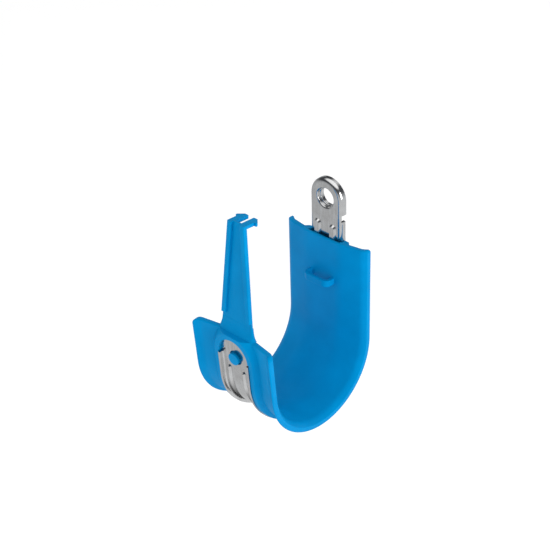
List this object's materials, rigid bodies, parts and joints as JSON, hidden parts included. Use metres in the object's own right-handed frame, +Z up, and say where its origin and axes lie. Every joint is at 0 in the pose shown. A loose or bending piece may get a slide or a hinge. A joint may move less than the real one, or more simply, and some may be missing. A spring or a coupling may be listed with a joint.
{
  "type": "cable j-hook",
  "caption": "Wide flared plastic J-hook saddle on a pressed steel strap with a tapped eye; a hinged latch closes the mouth over a bundle of data cables.",
  "frame": {"origin": "on the axis of the tapped eye at the top of the strap, in the back face of the strap's web", "axes": "+X along the cables, +Y from the front lip to the back wall and out of the back of the eye, +Z up"},
  "size_m": [0.047, 0.0651, 0.1061],
  "materials": {
    "moulded_plastic": "injection-moulded, bright blue, semi-gloss",
    "zinc_steel": "pressed sheet, bright zinc plate, satin"
  },
  "bodies": {
    "hook": {"saddle": "moulded_plastic", "steel_strap": "zinc_steel"},
    "latch": {"latch": "moulded_plastic"}
  },
  "joints": [
    {"name": "latch_hinge", "type": "hinge", "parent": "hook", "child": "latch", "pos_m": [0, -0.05677, -0.04121], "axis": [-1, 0, 0], "range_deg": [-60, 80.79], "stiffness_Nm_per_rad": 0.01}
  ]
}
